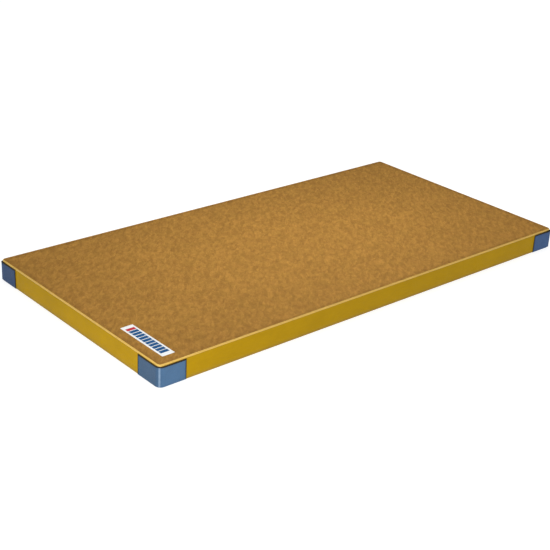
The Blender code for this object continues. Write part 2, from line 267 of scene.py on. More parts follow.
def settle(piece, slot, *nodes):
    """Makes a piece part of the mat, and hides the CAD nodes that it stands for."""
    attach(piece, "mat")
    if nodes:
        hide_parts(*nodes)


def bridge(work, first, second):
    """Faces between two closed loops of the same length."""
    for i in range(len(first)):
        j = (i + 1) % len(first)
        work.faces.new((first[i], first[j], second[j], second[i]))


def add_stack(work, loops):
    """A closed solid from loops of points, one above another."""
    made = [[work.verts.new(point) for point in loop] for loop in loops]
    for first, second in zip(made, made[1:]):
        bridge(work, first, second)
    work.faces.new(made[0])
    work.faces.new(made[-1])


def layered(name, path, outline, look):
    """A plate over a closed path, with one loop for each (out, up) point of its edge."""
    work = bmesh.new()
    add_stack(work, [[(x + nx * out, y + ny * out, up) for x, y, nx, ny in path] for out, up in outline])
    return finish_mesh(name, work, look)


def add_block(work, centre, half):
    """A block with these half sizes."""
    made = bmesh.ops.create_cube(work, size=2.0)
    place = Matrix.Translation(centre) @ Matrix.Diagonal((*half, 1.0))
    bmesh.ops.transform(work, matrix=place, verts=made["verts"])


def cut_away(piece, work):
    """Cuts a shape out of a piece."""
    cutter = finish_mesh("cutter", work, piece.data.materials[0])
    cut = piece.modifiers.new("cut", "BOOLEAN")
    cut.operation = "DIFFERENCE"
    cut.object = cutter
    cut.solver = "EXACT"
    bpy.context.view_layer.update()
    graph = bpy.context.evaluated_depsgraph_get()
    piece.data = bpy.data.meshes.new_from_object(piece.evaluated_get(graph))
    piece.modifiers.clear()
    bpy.data.objects.remove(cutter)


def add_bevel(piece, width):
    bevel = piece.modifiers.new("soft_edges", "BEVEL")
    bevel.width = width
    bevel.segments = 2
    bevel.limit_method = "ANGLE"
    bevel.angle_limit = math.radians(40)


def stitches(name, rows, look, slot):
    """Rows of thread stitches. Each row is a list of (point, normal) along a seam."""
    work = bmesh.new()
    for row in rows:
        add_stitch_row(work, row)
    settle(finish_mesh(name, work, look, smooth=math.radians(80)), slot)


def add_stitch_row(work, row):
    """Places evenly spaced stitches along one row."""
    lengths = [0.0]
    for (a, _), (b, _) in zip(row, row[1:]):
        lengths.append(lengths[-1] + (b - a).length)
    count = int(lengths[-1] / STITCH_PITCH)
    margin = (lengths[-1] - count * STITCH_PITCH) / 2
    where = 0
    for i in range(count):
        start = margin + i * STITCH_PITCH + (STITCH_PITCH - STITCH_LENGTH) / 2
        while where < len(row) - 2 and lengths[where + 1] < start + STITCH_LENGTH / 2:
            where += 1
        (a, na), (b, nb) = row[where], row[where + 1]
        along = (b - a).normalized()
        middle = a + along * (start + STITCH_LENGTH / 2 - lengths[where])
        add_stitch(work, middle, along, (na + nb).normalized())


def add_stitch(work, middle, along, normal):
    """One stitch: a short thread that dives into the cloth at both ends."""
    across = normal.cross(along).normalized()
    half = STITCH_LENGTH / 2
    first = work.verts.new(middle - along * half - normal * THREAD_RADIUS)
    last = work.verts.new(middle + along * half - normal * THREAD_RADIUS)
    loops = []
    for at in (-0.55, 0.55):
        loop = []
        for k in range(5):
            angle = 2 * math.pi * k / 5
            offset = across * math.cos(angle) + normal * math.sin(angle)
            loop.append(work.verts.new(middle + along * half * at + offset * THREAD_RADIUS))
        loops.append(loop)
    for k in range(5):
        j = (k + 1) % 5
        work.faces.new((first, loops[0][j], loops[0][k]))
        work.faces.new((loops[0][k], loops[0][j], loops[1][j], loops[1][k]))
        work.faces.new((last, loops[1][k], loops[1][j]))


def flat_row(path, out, up, facing):
    """Seam points on a level surface, right round. facing is 1 for the top and -1 for the underside."""
    closed = path + path[:1]
    return [(Vector((x + nx * out, y + ny * out, up)), Vector((0, 0, facing))) for x, y, nx, ny in closed]


# -------- materials


class Look:
    """Builds one procedural material. Textures use the piece's own metres."""

    def __init__(self, name, roughness=0.6, metallic=0.0, specular=0.5):
        self.material = bpy.data.materials.new(name)
        self.material.use_nodes = True
        self.tree = self.material.node_tree
        self.shader = self.tree.nodes["Principled BSDF"]
        self.shader.inputs["Roughness"].default_value = roughness
        self.shader.inputs["Metallic"].default_value = metallic
        self.shader.inputs["Specular IOR Level"].default_value = specular
        self.place = self.add("ShaderNodeTexCoord", {}).outputs["Object"]

    def add(self, kind, inputs, **settings):
        """A node with its settings, and with its inputs linked or set to plain values."""
        node = self.tree.nodes.new(kind)
        for key, value in settings.items():
            setattr(node, key, value)
        for key, value in inputs.items():
            self.feed(node.inputs[key], value)
        return node

    def feed(self, socket, value):
        """Links an output, or sets a plain value."""
        if isinstance(value, bpy.types.NodeSocket):
            self.tree.links.new(value, socket)
        else:
            socket.default_value = value

    def noise(self, scale, detail=3.0, rough=0.55, distortion=0.0, place=None):
        inputs = {"Vector": place or self.place, "Scale": scale, "Detail": detail}
        inputs.update({"Roughness": rough, "Distortion": distortion})
        return self.add("ShaderNodeTexNoise", inputs).outputs["Fac"]

    def cells(self, scale, feature="F1", place=None, randomness=1.0):
        inputs = {"Vector": place or self.place, "Scale": scale, "Randomness": randomness}
        return self.add("ShaderNodeTexVoronoi", inputs, feature=feature).outputs["Distance"]

    def waves(self, scale, direction, distortion=0.0):
        inputs = {"Vector": self.place, "Scale": scale, "Distortion": distortion}
        return self.add("ShaderNodeTexWave", inputs, bands_direction=direction).outputs["Fac"]

    def bent(self, amount, scale):
        """Coordinates shifted by noise, so that a regular pattern loses its straight lines."""
        shift = self.add("ShaderNodeTexNoise", {"Vector": self.place, "Scale": scale}).outputs["Color"]
        inputs = {0: shift, 1: (amount, amount, amount), 2: self.place}
        return self.add("ShaderNodeVectorMath", inputs, operation="MULTIPLY_ADD").outputs["Vector"]

    def stretched(self, factors, place=None):
        """Coordinates scaled along each axis."""
        inputs = {0: place or self.place, 1: factors}
        return self.add("ShaderNodeVectorMath", inputs, operation="MULTIPLY").outputs["Vector"]

    def along(self, heading, factors):
        """Coordinates turned to a heading in plan, then scaled along and across it."""
        inputs = {"Vector": self.place, "Angle": -heading}
        turned = self.add("ShaderNodeVectorRotate", inputs, rotation_type="Z_AXIS")
        return self.stretched(factors, turned.outputs["Vector"])

    def math(self, operation, first, second=0.0):
        return self.add("ShaderNodeMath", {0: first, 1: second}, operation=operation).outputs["Value"]

    def span(self, value, low, high, to_low=0.0, to_high=1.0):
        """Maps a range of values to another, and clamps it."""
        inputs = {"Value": value, "From Min": low, "From Max": high, "To Min": to_low, "To Max": to_high}
        return self.add("ShaderNodeMapRange", inputs).outputs["Result"]

    def mix(self, factor, first, second):
        """Goes from one colour to another. A tuple is a plain colour."""
        first, second = [(*c, 1.0) if isinstance(c, tuple) else c for c in (first, second)]
        inputs = {"Factor": factor, "A": first, "B": second}
        return self.add("ShaderNodeMix", inputs, data_type="RGBA").outputs["Result"]

    def shade(self, colour, value, low, high):
        """Multiplies a colour by a grey that runs from low to high as value goes from 0 to 1."""
        inputs = {0: colour, "Scale": self.span(value, 0.0, 1.0, low, high)}
        return self.add("ShaderNodeVectorMath", inputs, operation="SCALE").outputs["Vector"]

    def tint(self, colour, texture, low, high, reach=0.2):
        """Shades a colour by a texture whose values lie this far to both sides of a half."""
        return self.shade(colour, self.span(texture, 0.5 - reach, 0.5 + reach), low, high)

    def axis(self, index):
        return self.add("ShaderNodeSeparateXYZ", {"Vector": self.place}).outputs[index]

    def paint(self, colour):
        self.feed(self.shader.inputs["Base Color"], colour)

    def rough(self, texture, low, high):
        """Roughness from low to high, by a texture whose values are around a half."""
        self.feed(self.shader.inputs["Roughness"], self.span(texture, 0.3, 0.7, low, high))

    def relief(self, *layers):
        """Bump from (height, depth in metres) layers. It comes last, so it returns the material."""
        inputs = {"Strength": 1.0}
        for height, depth in layers:
            inputs.update({"Distance": depth, "Height": height})
            inputs["Normal"] = self.add("ShaderNodeBump", inputs).outputs["Normal"]
        self.feed(self.shader.inputs["Normal"], inputs["Normal"])
        return self.material


def landing_cloth():
    """Mottled brown cloth with a crinkled, suede-like face whose creases run diagonally."""
    look = Look("landing_cloth", roughness=0.9, specular=0.12)
    nap = look.along(NAP_HEADING, (0.48, 1.0, 1.0))
    mottle = look.noise(62.0, detail=0.0, distortion=0.6, place=nap)
    fleck = look.noise(125.0, detail=2.0, rough=0.5, distortion=0.6, place=nap)
    wander = look.noise(44.0, detail=1.0, distortion=0.8, place=nap)
    off_line = look.math("ABSOLUTE", look.math("SUBTRACT", wander, 0.5))
    crinkle = look.span(off_line, 0.0, 0.085, 1.0, 0.0)
    broad = look.noise(6.0, detail=2.0)
    hue = look.noise(21.0, detail=2.0)
    crease = look.span(look.cells(58.0, "DISTANCE_TO_EDGE", look.bent(0.014, 40.0)), 0.0, 0.14)
    fibre = look.noise(520.0, detail=3.0, rough=0.7)
    colour = look.mix(look.span(mottle, 0.30, 0.70), CLOTH_DARK, CLOTH_LIGHT)
    colour = look.mix(look.span(hue, 0.35, 0.65, 0.0, 0.22), colour, (0.375, 0.207, 0.036))
    colour = look.tint(colour, fleck, 0.92, 1.08)
    # Painted highlight: the crinkle ridges are painted lighter.
    colour = look.shade(colour, crinkle, 0.97, 1.085)
    colour = look.tint(colour, broad, 0.97, 1.03)
    # Painted shade: the crease lines are painted darker.
    colour = look.shade(colour, crease, 0.94, 1.01)
    colour = look.tint(colour, fibre, 0.90, 1.10, reach=0.25)
    # Painted shade beside the piping, in the seam's dip.
    look.paint(look.shade(colour, seam_shadow(look), 0.93, 1.0))
    look.rough(mottle, 0.80, 0.92)
    return look.relief((mottle, 0.0010), (crinkle, 0.0006), (crease, 0.0004), (fibre, 0.0005))


def seam_shadow(look):
    """Painted shade in the seam's dip: 0 beside the piping and 1 further in."""
    _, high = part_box("top_sheet")
    from_x = look.math("SUBTRACT", high.x, look.math("ABSOLUTE", look.axis(0)))
    from_y = look.math("SUBTRACT", high.y, look.math("ABSOLUTE", look.axis(1)))
    return look.span(look.math("MINIMUM", from_x, from_y), 0.008, 0.022)


def side_vinyl():
    """Vinyl over a woven base. The weave shows faintly, and the lower edge has painted shade, darker and
    duller towards the floor.
    """
    look = Look("side_vinyl", roughness=0.45, specular=0.04)
    along_x, along_y, along_z = [look.waves(300.0, axis, distortion=0.6) for axis in "XYZ"]
    weave = look.math("ADD", along_z, look.math("MULTIPLY", along_x, along_y))
    cloud = look.noise(9.0, detail=4.0, rough=0.6)
    scuff = look.noise(130.0, detail=5.0, rough=0.7, place=look.stretched((0.25, 0.25, 1.4)))
    tone = look.tint((0.480, 0.280, 0.0030), cloud, 0.94, 1.05)
    tone = look.tint(tone, scuff, 0.96, 1.03, reach=0.15)
    # Painted shade towards the floor: the lower edge is mixed towards a dull olive, then darkened.
    tone = look.mix(look.span(look.axis(2), 0.002, 0.016, 0.20, 0.0), tone, (0.30, 0.26, 0.12))
    look.paint(look.shade(tone, look.span(look.axis(2), 0.0, 0.014), 0.85, 1.0))
    look.rough(scuff, 0.39, 0.55)
    return look.relief((weave, 0.00008), (cloud, 0.0006), (scuff, 0.0001))


def piping_vinyl():
    look = Look("piping_vinyl", roughness=0.38, specular=0.3)
    cloud = look.noise(22.0, detail=4.0)
    grain = look.noise(900.0, detail=2.0)
    # The piping is the sides' yellow vinyl painted paler: a painted highlight for the light on its rounded
    # top.
    look.paint(look.tint((0.74, 0.47, 0.10), cloud, 0.93, 1.05))
    look.rough(cloud, 0.34, 0.48)
    return look.relief((grain, 0.0001), (cloud, 0.0004))


def guard_leather(name, colour, wear, gloss):
    """Blue-grey leather with a pebbled grain, rubbed paler along the corner. The paler strip there is partly
    wear and partly a painted highlight.
    """
    look = Look(name, roughness=0.42, specular=gloss)
    pebble = look.cells(520.0, "F1", look.bent(0.0008, 300.0))
    cloud = look.noise(16.0, detail=4.0, rough=0.6)
    scuff = look.noise(60.0, detail=6.0, rough=0.7)
    tone = look.tint(colour, cloud, 0.92, 1.08)
    # Painted shade: the legs on the short sides are painted darker than those on the long sides.
    tone = look.shade(tone, look.span(corner_offset(look), -0.02, 0.02), 1.0, 0.66)
    tone = look.shade(tone, look.span(pebble, 0.0, 0.8), 1.06, 0.88)
    # Along each corner's upright line: rubbed wear and a painted highlight, strongest on the near guard.
    patches = look.span(scuff, 0.35, 0.6, 0.55 * wear, wear)
    worn = look.math("MULTIPLY", corner_nearness(look), patches)
    look.paint(look.mix(worn, tone, (0.27, 0.37, 0.50)))
    look.rough(cloud, 0.36, 0.50)
    return look.relief((look.math("SUBTRACT", 1.0, pebble), 0.00035), (cloud, 0.0008))


def corner_offset(look):
    """Distance past a corner's upright line: positive along the short side, negative along the long one."""
    _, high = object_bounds()
    x = look.math("ABSOLUTE", look.axis(0))
    y = look.math("ABSOLUTE", look.axis(1))
    return look.math("SUBTRACT", look.math("SUBTRACT", x, y), high[0] - high[1])


def corner_nearness(look):
    """High on the upright line of each rounded corner, and 0 a few millimetres away from it."""
    return look.span(look.math("ABSOLUTE", corner_offset(look)), 0.002, 0.0062, 1.0, 0.0)


def binding_tape():
    """Dark ribbed tape."""
    look = Look("binding_tape", roughness=0.75, specular=0.25)
    ribs = look.math("MULTIPLY", look.waves(260.0, "X"), look.waves(260.0, "Y"))
    fuzz = look.noise(400.0, detail=4.0)
    tone = look.shade((0.030, 0.027, 0.018), ribs, 0.8, 1.25)
    look.paint(look.shade(tone, fuzz, 0.8, 1.2))
    return look.relief((ribs, 0.0003), (fuzz, 0.0002))


def grip_cloth():
    """Dark underside with rows of small rubber studs."""
    look = Look("grip_cloth", roughness=0.85, specular=0.3)
    studs = look.cells(125.0, "F1", place=look.stretched((1.0, 1.0, 0.001)), randomness=0.0)
    stud = look.span(studs, 0.22, 0.34, 1.0, 0.0)
    cloud = look.noise(7.0, detail=4.0)
    dust = look.noise(300.0, detail=4.0, rough=0.7)
    tone = look.mix(stud, (0.060, 0.060, 0.062), (0.030, 0.030, 0.031))
    look.paint(look.shade(look.tint(tone, cloud, 0.85, 1.2), dust, 0.85, 1.2))
    look.feed(look.shader.inputs["Roughness"], look.span(stud, 0.0, 1.0, 0.9, 0.6))
    return look.relief((stud, 0.0006), (dust, 0.0002))


def foam(name, colour, cell=420.0):
    look = Look(name, roughness=0.95, specular=0.1)
    pores = look.cells(cell, "F1")
    tone = look.shade(colour, look.span(pores, 0.1, 0.7), 0.72, 1.08)
    look.paint(look.shade(tone, look.noise(20.0), 0.9, 1.1))
    return look.relief((pores, 0.0008))


def thread(name, colour):
    look = Look(name, roughness=0.7, specular=0.3)
    twist = look.noise(1400.0, detail=2.0)
    look.paint(look.shade(colour, twist, 0.8, 1.2))
    return look.relief((twist, 0.0001))


def woven_tape():
    look = Look("zip_cloth", roughness=0.85, specular=0.2)
    weave = look.math("MULTIPLY", look.waves(330.0, "X"), look.waves(330.0, "Z"))
    fuzz = look.noise(500.0)
    tone = look.shade((0.036, 0.036, 0.038), weave, 0.75, 1.35)
    look.paint(look.shade(tone, fuzz, 0.85, 1.15))
    return look.relief((weave, 0.0002), (fuzz, 0.0001))


def tooth_plastic():
    look = Look("zip_plastic", roughness=0.35)
    grain = look.noise(300.0)
    look.paint(look.shade((0.030, 0.030, 0.031), grain, 0.85, 1.2))
    look.rough(grain, 0.28, 0.45)
    return look.material


def zip_metal():
    """Satin steel, brushed along its length, with worn paler patches."""
    look = Look("zip_metal", roughness=0.3, metallic=1.0)
    brushed = look.noise(60.0, detail=5.0, rough=0.7, place=look.stretched((1.0, 1.0, 22.0)))
    wear = look.noise(220.0, detail=5.0, rough=0.65)
    tone = look.tint((0.55, 0.54, 0.52), brushed, 0.88, 1.08)
    look.paint(look.mix(look.span(wear, 0.58, 0.70, 0.0, 0.6), tone, (0.74, 0.73, 0.70)))
    look.rough(brushed, 0.24, 0.42)
    return look.relief((brushed, 0.00005))


def label_film():
    look = Look("label_film", roughness=0.55, specular=0.12)
    grain = look.noise(420.0)
    soil = look.noise(28.0, detail=5.0, rough=0.65)
    look.paint(look.tint((0.93, 0.95, 0.95), soil, 0.95, 1.0, reach=0.15))
    look.rough(soil, 0.50, 0.65)
    return look.relief((grain, 0.0001))


def print_ink(name, colour):
    look = Look(name, roughness=0.55, specular=0.12)
    speckle = look.noise(700.0, detail=4.0, rough=0.7)
    look.paint(look.tint(colour, speckle, 0.85, 1.1, reach=0.15))
    return look.relief((speckle, 0.00003))


# -------- the mat's own measures


class Mat:
    """Measures read from the CAD nodes."""

    def __init__(self):
        piping_low, piping_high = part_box("top_piping")
        self.bead = (piping_high.z - piping_low.z) / 2 + BEAD_SWELL
        self.bead_height = (piping_high.z + piping_low.z) / 2 - BEAD_SWELL / 4
        band_low, band_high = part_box("rear_side_band")
        self.half_x, self.half_y, self.band_top = band_high
        self.bead_out = piping_high.x - self.bead - self.half_x
        self.seam_y = band_low.y
        side_low, side_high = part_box("right_side_band")
        self.hem = side_high.x - side_low.x
        self.side_reach = side_high.y
        self.sheet_low, self.sheet_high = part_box("top_sheet")
        self.sheet_inset = self.half_x - self.sheet_high.x
        _, guard_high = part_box("guard_rear_right")
        self.guard_out = guard_high.x - self.half_x
        self.guard_top = guard_high.z
        tape_low, tape_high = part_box("guard_binding_rear_right")
        self.tape_low, self.tape_top = tape_low.z, tape_high.z
        self.tape_out = tape_high.x - self.half_x
        self.label_low, self.label_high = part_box("label_patch")
        self.blow_up_cover()

    def blow_up_cover(self):
        """Simulates the landing surface, a long side between its guards and a short side."""
        self.wall_middle = (self.band_top + BAND_FOLD) / 2
        wall = (self.band_top - BAND_FOLD) / 2
        self.top_panel = Blown(self.sheet_high.x, self.sheet_high.y, 96, 48, 4.0, TOP_CAP)
        self.long_panel = Blown(self.half_x - GUARD_REACH, wall, 180, 12, 5.0, PANEL_CAP)
        self.short_panel = Blown(self.half_y - GUARD_REACH, wall, 80, 12, 5.0, PANEL_CAP)


def wrap_path(mat):
    """Along the rear, and round both of its corners as far as the seams on the short sides."""
    cx, cy = mat.half_x - SIDE_RADIUS, mat.half_y - SIDE_RADIUS
    return joined(
        run((mat.half_x, mat.seam_y), (mat.half_x, cy)),
        bend((cx, cy), SIDE_RADIUS, 0.0),
        run((cx, mat.half_y), (-cx, mat.half_y)),
        bend((-cx, cy), SIDE_RADIUS, math.pi / 2),
        run((-mat.half_x, cy), (-mat.half_x, mat.seam_y)),
    )


def guard_legs(mat, quarter):
    """How far a guard reaches along the two sides at its corner, counterclockwise."""
    low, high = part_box("guard_" + CORNERS[quarter])
    along_short = mat.half_y - min(abs(low.y), abs(high.y))
    along_long = mat.half_x - min(abs(low.x), abs(high.x))
    return (along_long, along_short) if quarter % 2 else (along_short, along_long)


def corner_path(mat, quarter):
    """Round one corner, over the length of its guard's legs."""
    first, second = guard_legs(mat, quarter)
    local = joined(
        run((0.0, -first), (0.0, -SIDE_RADIUS), 0.006),
        bend((-SIDE_RADIUS, -SIDE_RADIUS), SIDE_RADIUS, 0.0, 16),
        run((-SIDE_RADIUS, 0.0), (-second, 0.0), 0.006),
    )
    side_x, side_y = CORNER_SIDES[quarter]
    at_x, at_y = side_x * mat.half_x, side_y * mat.half_y
    c, s = QUARTER_TURNS[quarter]
    path = []
    for x, y, nx, ny in local:
        path.append((at_x + c * x - s * y, at_y + s * x + c * y, c * nx - s * ny, s * nx + c * ny))
    return path


# -------- cover


class Blown:
    """How far a stretched panel of the cover stands out over its foam, from a cloth simulation.

    The panel is held along its four sides and pressed outward. Each point moves no further than the cap.
    """

    def __init__(self, half_x, half_y, count_x, count_y, pressure, cap):
        self.half_x, self.half_y = half_x, half_y
        self.count_x, self.count_y = count_x, count_y
        self.cap = cap
        self.heights = self.simulated(pressure)

    def panel(self):
        """A flat grid of vertices, column by column, with the outer ones in the group that is held."""
        work = bmesh.new()
        grid = []
        rows = spread(-self.half_y, self.half_y, self.count_y)
        for x in spread(-self.half_x, self.half_x, self.count_x):
            grid.append([work.verts.new((x, y, 0.0)) for y in rows])
        add_grid_faces(work, grid)
        mesh = bpy.data.meshes.new("panel")
        work.to_mesh(mesh)
        work.free()
        panel = bpy.data.objects.new("panel", mesh)
        bpy.context.scene.collection.objects.link(panel)
        held = panel.vertex_groups.new(name="held")
        for k in range(len(mesh.vertices)):
            column, row = divmod(k, self.count_y + 1)
            if column in (0, self.count_x) or row in (0, self.count_y):
                held.add([k], 1.0, "REPLACE")
        return panel

    def simulated(self, pressure):
        panel = self.panel()
        cloth = panel.modifiers.new("cover", "CLOTH")
        cloth.settings.vertex_group_mass = "held"
        cloth.settings.use_pressure = True
        cloth.settings.uniform_pressure_force = pressure
        cloth.settings.tension_stiffness = 40.0
        cloth.settings.compression_stiffness = 40.0
        cloth.settings.shear_stiffness = 20.0
        cloth.settings.effector_weights.gravity = 0.0
        cloth.point_cache.frame_end = SIMULATED_FRAMES
        for frame_number in range(1, SIMULATED_FRAMES + 1):
            bpy.context.scene.frame_set(frame_number)
        blown = panel.evaluated_get(bpy.context.evaluated_depsgraph_get())
        found = [vertex.co.z for vertex in blown.data.vertices]
        bpy.data.objects.remove(panel)
        bpy.context.scene.frame_set(1)
        scale = min(1.0, self.cap / max(max(found), 1e-9))
        rows = self.count_y + 1
        return [[found[i * rows + j] * scale for j in range(rows)] for i in range(self.count_x + 1)]

    def at(self, x, y):
        """Height at a point of the panel, measured from its centre."""
        u = min(1.0, max(0.0, (x / self.half_x + 1.0) / 2.0)) * self.count_x
        v = min(1.0, max(0.0, (y / self.half_y + 1.0) / 2.0)) * self.count_y
        i, j = min(int(u), self.count_x - 1), min(int(v), self.count_y - 1)
        u, v = u - i, v - j
        near = self.heights[i][j] * (1 - v) + self.heights[i][j + 1] * v
        far = self.heights[i + 1][j] * (1 - v) + self.heights[i + 1][j + 1] * v
        return near * (1 - u) + far * u


def add_grid_faces(work, grid):
    """Faces between neighbouring points of a grid."""
    for first, second in zip(grid, grid[1:]):
        for j in range(len(first) - 1):
            work.faces.new((first[j], second[j], second[j + 1], first[j + 1]))


def make_top_sheet(mat, look):
    """The landing surface: crinkled cloth that dips at the seam and then climbs the piping."""
    count_x, count_y = 280, 140
    work = bmesh.new()
    border = border_indices(count_x, count_y)
    skins = []
    for lower in (False, True):
        grid = []
        for s in spread(0.0, 1.0, count_x):
            grid.append([work.verts.new(sheet_point(mat, s, t, lower)) for t in spread(0.0, 1.0, count_y)])
        add_grid_faces(work, grid)
        loop = [grid[i][j] for i, j in border]
        places = [(i / count_x, j / count_y) for i, j in border]
        for angle in CLIMB_ANGLES:
            outer = [work.verts.new(piping_point(mat, s, t, angle, lower)) for s, t in places]
            bridge(work, loop, outer)
            loop = outer
        skins.append(loop)
    bridge(work, *skins)
    sheet = finish_mesh("landing_sheet", work, look, smooth=math.radians(60))
    settle(sheet, "mat_cloth", "top_sheet")


def border_indices(count_x, count_y):
    """The grid's outermost points, counterclockwise."""
    front = [(i, 0) for i in range(count_x)]
    right = [(count_x, j) for j in range(count_y)]
    rear = [(count_x - i, count_y) for i in range(count_x)]
    left = [(0, count_y - j) for j in range(count_y)]
    return front + right + rear + left


def sheet_plan(mat, s, t):
    """A point of the landing surface seen from above."""
    half_x, half_y = mat.sheet_high.x, mat.sheet_high.y
    radius = PIPING_CORNER - mat.sheet_inset
    x, y = rounded(eased(s, half_x), eased(t, half_y), half_x, half_y, radius)
    return x, y, min(half_x - abs(x), half_y - abs(y))


def sheet_point(mat, s, t, lower):
    x, y, edge = sheet_plan(mat, s, t)
    thickness = mat.sheet_high.z - mat.sheet_low.z
    top = mat.sheet_high.z + cloth_height(mat, x, y, edge)
    return x, y, top - thickness if lower else top


def piping_point(mat, s, t, angle, lower):
    """A point of the cloth where it lies on the piping, at an angle round the bead."""
    x, y, _ = sheet_plan(mat, s, t)
    cx, cy = mat.half_x - PIPING_CORNER, mat.half_y - PIPING_CORNER
    px, py = max(0.0, abs(x) - cx), max(0.0, abs(y) - cy)
    if px == 0.0 or py == 0.0:
        nx, ny = (1.0, 0.0) if px > 0.0 else (0.0, 1.0)
    else:
        nx, ny = px / math.hypot(px, py), py / math.hypot(px, py)
    radius = mat.bead + (0.00006 if lower else 0.0003)
    out = mat.bead_out + radius * math.cos(math.radians(angle)) + mat.sheet_inset
    up = mat.bead_height + radius * math.sin(math.radians(angle)) + 0.0001 * ripple(x, y, 0.02, 11.0)
    return x + math.copysign(nx, x) * out * (nx > 0), y + math.copysign(ny, y) * out * (ny > 0), up


def eased(t, half):
    """A grid line's position, with the lines closer together towards both edges."""
    u = 2 * t - 1
    return half * (0.72 * u + 0.28 * math.sin(u * math.pi / 2))


def rounded(x, y, half_x, half_y, radius):
    """Moves a point of the rectangle so that the rectangle's corners become round."""
    cx, cy = half_x - radius, half_y - radius
    if abs(x) <= cx or abs(y) <= cy:
        return x, y
    px, py = abs(x) - cx, abs(y) - cy
    reach = math.hypot(px, py)
    square = max(px, py)
    return math.copysign(cx + px / reach * square, x), math.copysign(cy + py / reach * square, y)


def cloth_height(mat, x, y, edge):
    """Height of the landing surface against its flat level. The cloth lies flat under the label."""
    dip = -0.0008 * math.exp(-((edge / 0.0045) ** 2))
    puckers = 0.00035 * ripple(x, y, 0.028, 3.0) * math.exp(-edge / 0.03)
    crinkle = 0.00012 * ripple(x, y, 0.016, 1.0) + 0.00008 * ripple(x, y, 0.009, 7.0)
    swell = 0.00035 * ripple(x, y, 0.35, 5.0) * min(1.0, edge / 0.1)
    blown = mat.top_panel.at(x, y)
    return dip + (puckers + crinkle + swell + blown) * clear_of_label(mat, x, y)


def clear_of_label(mat, x, y, fade=0.012):
    """0 under the label and 1 a little way from it."""
    away_x = max(mat.label_low.x - x, x - mat.label_high.x)
    away_y = max(mat.label_low.y - y, y - mat.label_high.y)
    return min(1.0, max(0.0, max(away_x, away_y) - 0.002) / fade)


def make_base_sheet(mat, look):
    _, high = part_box("base_sheet")
    radius = SIDE_RADIUS - (mat.half_x - high.x)
    edge = [(0.0, high.z), (0.0, 0.0003), (-0.0006, 0.0), (-radius / 2, 0.0)]
    sheet = layered("underside_sheet", ring_path(high.x, high.y, radius, 0.02), edge, look)
    settle(sheet, "grip_cloth", "base_sheet")


def band_profile(mat):
    """Down the side from the seam, round the fold and along the hem."""
    top = mat.band_top + SEAM_RISE
    wall = [(-0.0004, top), (0.0, top - 0.0001)]
    wall += [(0.0, up) for up in spread(top - 0.002, BAND_FOLD, 14)]
    turn = arc((-BAND_FOLD, BAND_FOLD), BAND_FOLD, 0.0, -math.pi / 2, 8)[1:]
    hem = [(out, 0.0) for out in spread(-BAND_FOLD, -mat.hem, 5)[1:]]
    return wall + turn + hem


def band_warp(mat):
    """The wall swells a little between the guards, and the cloth has slight waves."""
    fold, top = BAND_FOLD, mat.band_top

    def warp(s, x, y, out, up):
        if up < fold or up > top - 0.001:
            return out, up
        share = (up - fold) / (top - fold)
        long_side = abs(y) > mat.half_y - 0.001
        panel, along = (mat.long_panel, x) if long_side else (mat.short_panel, y)
        free = min(1.0, max(0.0, (panel.half_x - abs(along)) / 0.05))
        bulge = panel.at(along, up - mat.wall_middle)
        wave = 0.00035 * ripple(x + y, up * 3.0, 0.09, 2.0) * math.sin(math.pi * share)
        pull = 0.00025 * ripple(x + y, 0.0, 0.02, 9.0) * max(0.0, (share - 0.75) / 0.25) * (1.0 - share) * 4
        return out + bulge + free * (wave + pull), up

    return warp


def make_bands(mat, look):
    section = shell(band_profile(mat), -BAND_CLOTH)
    wrap = wrap_path(mat)
    side = run((mat.half_x, -mat.side_reach), (mat.half_x, mat.side_reach))
    paths = {"rear": wrap, "front": half_turned(wrap), "right": side, "left": half_turned(side)}
    for name, path in paths.items():
        band = sweep(name + "_cover_band", path, section, look, warp=band_warp(mat))
        length = distances(path)[-1] + 2 * SEAM_ALLOWANCE
        area = BAND_WIDTH * length
        if name == "rear":
            cut_slot(mat, band)
            area -= slot_area()
        settle(band, "side_vinyl", name + "_side_band")


def cut_slot(mat, band):
    """Opens the rear band for the zip."""
    outline = rounded_slot(zip_slot())
    work = bmesh.new()
    add_stack(work, [[(x, y, z) for x, z in outline] for y in (mat.half_y + 0.004, mat.half_y - 0.006)])
    cut_away(band, work)


def slot_area():
    """The cloth that the opening takes out of the rear band."""
    half, _, width = zip_slot()
    return 4 * (half - width) * width + math.pi * width * width


def zip_slot():
    """(half length, centre height, half width) of the opening in the rear band."""
    _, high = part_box("zip_teeth_upper")
    low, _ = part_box("zip_teeth_lower")
    return high.x + SLOT_PAST_TEETH, (high.z + low.z) / 2, SLOT_HALF_WIDTH


def rounded_slot(slot, grow=0.0, steps=10):
    """Outline of the slot as (x, z) points."""
    half, middle, width = slot[0] + grow, slot[1], slot[2] + grow
    right = arc((half - width, middle), width, -math.pi / 2, math.pi / 2, steps)
    left = arc((-half + width, middle), width, math.pi / 2, 1.5 * math.pi, steps)
    return right + left


def make_piping(mat, look):
    """A cord covered in vinyl, which runs in the seam round the top edge."""
    centre, height = mat.bead_out, mat.bead_height

    def warp(s, x, y, out, up):
        swell = 1.0 + 0.035 * ripple(x, y, 0.022, 4.0) - 0.02
        shift = 0.0002 * ripple(x, y, 0.08, 6.0)
        return centre + (out - centre) * swell, height + (up - height) * swell + shift - 0.0001

    path = ring_path(mat.half_x, mat.half_y, PIPING_CORNER, 0.007)
    section = arc((centre, height), mat.bead, 0.0, 2 * math.pi, 16)[:-1]
    bead = sweep("edge_piping", path, section, look, closed=True, warp=warp)
    settle(bead, "piping_vinyl", "top_piping")


# -------- corner guards


def guard_profile(mat):
    """From the top edge down the outside and round the fold under the mat."""
    out, fold = mat.guard_out, GUARD_FOLD
    wall = [(out - 0.0007, mat.guard_top), (out - 0.00015, mat.guard_top - 0.0005)]
    wall += [(out, up) for up in spread(mat.guard_top - 0.0015, fold, 12)]
    turn = arc((-fold, fold), fold + out, 0.0, -GUARD_TUCK, 5)[1:]
    return wall + turn


